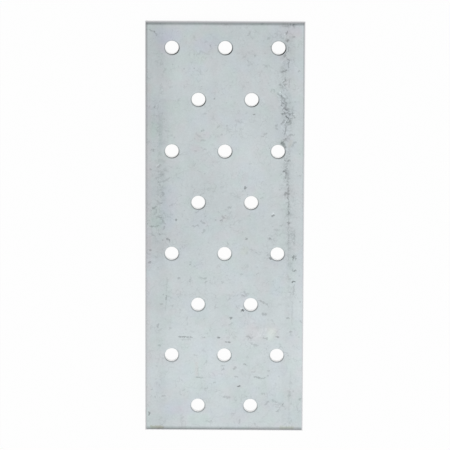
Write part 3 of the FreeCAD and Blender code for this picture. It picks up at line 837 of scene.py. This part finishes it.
def makeFinish():
    material = bpy.data.materials.new("galvanised_steel")
    material.use_nodes = True
    tree = material.node_tree
    shader = tree.nodes["Principled BSDF"]
    place = calcVector(
        tree, "MULTIPLY", addNode(tree, "ShaderNodeTexCoord").outputs["Object"], (1 / mm, 1 / mm, 1 / mm)
    )
    axes = addNode(tree, "ShaderNodeSeparateXYZ", {0: place}).outputs
    x, y = axes["X"], axes["Y"]

    tone = 1.0
    for number, (size, stretch, detail, depth) in enumerate(zinc["clouds"]):
        lump = minus(tree, cloud(tree, place, seeds["clouds"] + number, size, stretch, detail), 0.5)
        tone = calc(tree, "MULTIPLY_ADD", lump, depth, tone)

    # Scuffs and pits are everywhere; marks, bands, the left strip's painted shade and stains are on the
    # struck face only
    wearAndShade = 0.0
    for number, (size, width, patchSize, start, depth) in enumerate(scuffs):
        lines = curls(tree, place, seeds["scuffs"] + number, size, width)
        patch = patches(tree, place, seeds["scuffPatches"] + number, patchSize, start, start + scuffFade)
        wearAndShade = calc(tree, "MULTIPLY_ADD", times(tree, lines, patch), depth, wearAndShade)
    for pit in pits["kinds"]:
        wearAndShade = plus(tree, wearAndShade, specks(tree, place, *pit))
    front = fade(tree, clampTo(tree, axes["Z"], *frontDepth), *frontDepth)
    wavered = waveredPlace(tree, place)
    markGroup = makeMarkGroup()
    struck = struckFaceWearAndShade(tree, place, wavered, markGroup, x, y)
    wearAndShade = calc(tree, "MULTIPLY_ADD", struck, front, wearAndShade)

    # Painted shade in strips along the outer edges
    left, foot = plateLow.x / mm, plateLow.y / mm
    right, top = plateHigh.x / mm, plateHigh.y / mm
    fromSides = {
        "left": minus(tree, x, left), "right": minus(tree, right, x),
        "foot": minus(tree, y, foot), "top": minus(tree, top, y),
    }
    upShare = calc(tree, "DIVIDE", fromSides["foot"], top - foot)
    upMost = times(tree, upShare, upShare)
    for side, width, footDepth, topDepth in edgeShadeStrips:
        strip = fade(tree, fromSides[side], 0.5 * width, width, 1.0, 0.0)
        wearAndShade = plus(tree, wearAndShade, times(tree, strip, between(tree, upMost, footDepth, topDepth)))
    tone = calc(tree, "MAXIMUM", minus(tree, tone, wearAndShade), zinc["darkest"])

    colour = scaled(tree, zinc["colour"], tone)
    for number, (tint, size, start) in enumerate(zinc["tints"]):
        ends = (start + past for past in zinc["tintFade"])
        patch = patches(tree, place, seeds["tints"] + number, size, *ends)
        colour = blend(tree, patch, colour, calcVector(tree, "MULTIPLY", colour, tint))
    for *stroke, tint in stains:
        cover = useGroup(tree, markGroup, dict(markInputs(*stroke), Place=wavered))["After"]
        stained = calcVector(tree, "MULTIPLY", colour, tint)
        colour = blend(tree, times(tree, cover, front), colour, stained)

    # The cut edges follow the mesh's own record of where the cut is
    step, isBore, firstShadedSide, secondShadedSide = (
        addNode(tree, "ShaderNodeAttribute", attribute_name=name).outputs["Fac"]
        for name in ("cutStep", "bore", "firstShadedSide", "secondShadedSide")
    )
    onRoll = fade(tree, step, *cutEdges["rollFade"])
    wallStart = between(tree, isBore, cutEdges["endStart"], cutEdges["boreStart"])
    onWall = clampTo(tree, fade(tree, minus(tree, step, wallStart), *cutEdges["wallFade"]), 0.0, 1.0)
    onBreak = fade(tree, step, *cutEdges["breakFade"])
    # Painted shade round the rims of the holes: some all round, more on two sides, changing from foot to top
    shade = between(tree, upMost, *cutEdges["rimShade"])
    for facing, name in ((firstShadedSide, "firstSideShade"), (secondShadedSide, "secondSideShade")):
        sideShade = between(tree, upMost, *cutEdges[name])
        shade = plus(tree, shade, times(tree, calc(tree, "POWER", facing, cutEdges["falloff"]), sideShade))
    # The roll's painted shading along the plate, with the rims' painted shade taken off it at the holes
    rollPaintedShading = minus(tree, between(tree, upShare, *cutEdges["rollPaintedShading"]), times(tree, shade, isBore))
    colour = scaled(tree, colour, between(tree, onRoll, 1.0, rollPaintedShading))
    wallColour = blend(tree, isBore, cutEdges["endColour"], cutEdges["boreColour"])
    colour = blend(tree, onWall, colour, wallColour)
    colour = blend(tree, onBreak, colour, cutEdges["breakColour"])
    tree.links.new(colour, shader.inputs["Base Color"])

    shader.inputs["Metallic"].default_value = 1.0
    rough = calc(tree, "MULTIPLY_ADD", wearAndShade, zinc["wearAndShadeRoughness"], zinc["roughness"])
    rough = between(tree, onRoll, rough, between(tree, upShare, *cutEdges["rollRoughness"]))
    tree.links.new(rough, shader.inputs["Roughness"])
    grain = cloud(tree, place, seeds["grain"], zinc["grainSize"], detail=1.0)
    bump = addNode(tree, "ShaderNodeBump", {"Height": grain, "Distance": zinc["bump"], "Strength": 1.0})
    tree.links.new(bump.outputs[0], shader.inputs["Normal"])
    return material


finish = makeFinish()
piece = makePlate(finish)
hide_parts("mending_plate")
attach(piece, "root")
print("plate made:", len(piece.data.polygons), "faces")

# The photograph's camera, as fitted to the twenty hole centres and the outline together
view = {
    "pivot": (0.0, 0.0, 1.0 * mm),
    "tilt": 15.00,               # degrees from straight down, towards +Y
    "lean": 0.43,                # degrees towards +X
    "roll": 0.20,                # degrees
    "distance": 1995 * mm,
    "aimRight": 0.13 * mm,       # the picture's middle, from the pivot
    "aimUp": 0.93 * mm,
    "lens": 421.8,
    "clipEnd": 20.0,
}


def makeCamera():
    lean, tilt = math.radians(view["lean"]), math.radians(view["tilt"])
    back = Vector((math.sin(lean), math.sin(tilt), 0.0))
    back.z = math.sqrt(1.0 - back.length_squared)
    up = Vector((0.0, 1.0, 0.0))
    up = (up - back * up.dot(back)).normalized()
    right = up.cross(back)
    roll = math.radians(view["roll"])
    right, up = (
        right * math.cos(roll) + up * math.sin(roll),
        up * math.cos(roll) - right * math.sin(roll),
    )
    data = bpy.data.cameras.new("camera")
    data.lens = view["lens"]
    data.clip_end = view["clipEnd"]
    camera = newObject("camera", data)
    turned = Matrix((right, up, back)).transposed().to_4x4()
    spot = Vector(view["pivot"]) + back * view["distance"] + right * view["aimRight"] + up * view["aimUp"]
    camera.matrix_world = Matrix.Translation(spot) @ turned
    bpy.context.scene.camera = camera


studio = {
    "floorSize": 6.0,
    "floorDrop": 0.05 * mm,      # the floor lies this far below the plate
    "shadowShare": 0.04,         # how much of the floor's own shading shows under the white
    "paint": (0.9, 0.9, 0.9, 1.0),
    "ceiling": 0.74,
    "brightWall": 1.05,
    "darkWall": 0.16,
    "darkSide": (-0.7, 0.7),     # the unlit corner of the room, at the picture's upper left
    "sideFade": (-0.2, 1.1),     # from the bright wall to the dark one
    "wallFade": (0.35, 0.92),    # height shares between which wall turns to ceiling
    "sweepTop": 0.03,            # the white floor rises this far at the horizon
}


def makeFloor():
    half = studio["floorSize"] / 2
    height = plateLow.z - studio["floorDrop"]
    mesh = bpy.data.meshes.new("floor")
    mesh.from_pydata(
        [(-half, -half, height), (half, -half, height), (half, half, height), (-half, half, height)],
        [], [(0, 1, 2, 3)],
    )
    floor = newObject("floor", mesh)
    material = bpy.data.materials.new("white_floor")
    material.use_nodes = True
    tree = material.node_tree
    tree.nodes.clear()
    path = addNode(tree, "ShaderNodeLightPath").outputs
    seen = clampTo(tree, plus(
        tree, path["Is Camera Ray"], path["Is Glossy Ray"], path["Is Transmission Ray"]
    ), 0.0, 1.0)
    glow = addNode(tree, "ShaderNodeEmission", {"Color": (1.0, 1.0, 1.0, 1.0), "Strength": 1.0}).outputs[0]
    paint = addNode(tree, "ShaderNodeBsdfDiffuse", {"Color": studio["paint"]}).outputs[0]
    share = times(tree, seen, 1.0 - studio["shadowShare"])
    surface = addNode(tree, "ShaderNodeMixShader", {0: share, 1: paint, 2: glow}).outputs[0]
    addNode(tree, "ShaderNodeOutputMaterial", {"Surface": surface})
    mesh.materials.append(material)


def makeWorld():
    # Pale walls, lighter on one side, under a soft ceiling
    world = bpy.data.worlds.new("studio")
    bpy.context.scene.world = world
    world.use_nodes = True
    tree = world.node_tree
    tree.nodes.clear()
    direction = addNode(tree, "ShaderNodeTexCoord").outputs["Generated"]
    height = addNode(tree, "ShaderNodeSeparateXYZ", {0: direction}).outputs["Z"]
    side = dot(tree, direction, (*studio["darkSide"], 0.0))
    wall = fade(tree, side, *studio["sideFade"], studio["brightWall"], studio["darkWall"])
    level = between(tree, fade(tree, height, *studio["wallFade"]), wall, studio["ceiling"])
    level = between(tree, calc(tree, "LESS_THAN", height, studio["sweepTop"]), level, 1.0)
    sky = addNode(tree, "ShaderNodeBackground", {"Color": (1.0, 1.0, 1.0, 1.0), "Strength": level}).outputs[0]
    addNode(tree, "ShaderNodeOutputWorld", {"Surface": sky})


lamps = {
    "key_softbox": {"at": (0.10, -0.40, 0.80), "aim": (0.0, 0.0, 0.0), "size": 0.60, "power": 0.55},
}


def makeLamps():
    for name, lamp in lamps.items():
        data = bpy.data.lights.new(name, "AREA")
        data.shape = "SQUARE"
        data.size = lamp["size"]
        data.energy = lamp["power"]
        light = newObject(name, data)
        light.location = lamp["at"]
        aim = Vector(lamp["aim"]) - Vector(lamp["at"])
        light.rotation_mode = "QUATERNION"
        light.rotation_quaternion = aim.to_track_quat("-Z", "Y")


makeCamera()
makeFloor()
makeWorld()
makeLamps()
bpy.context.scene.view_settings.view_transform = "Standard"
print("camera, floor and light made")
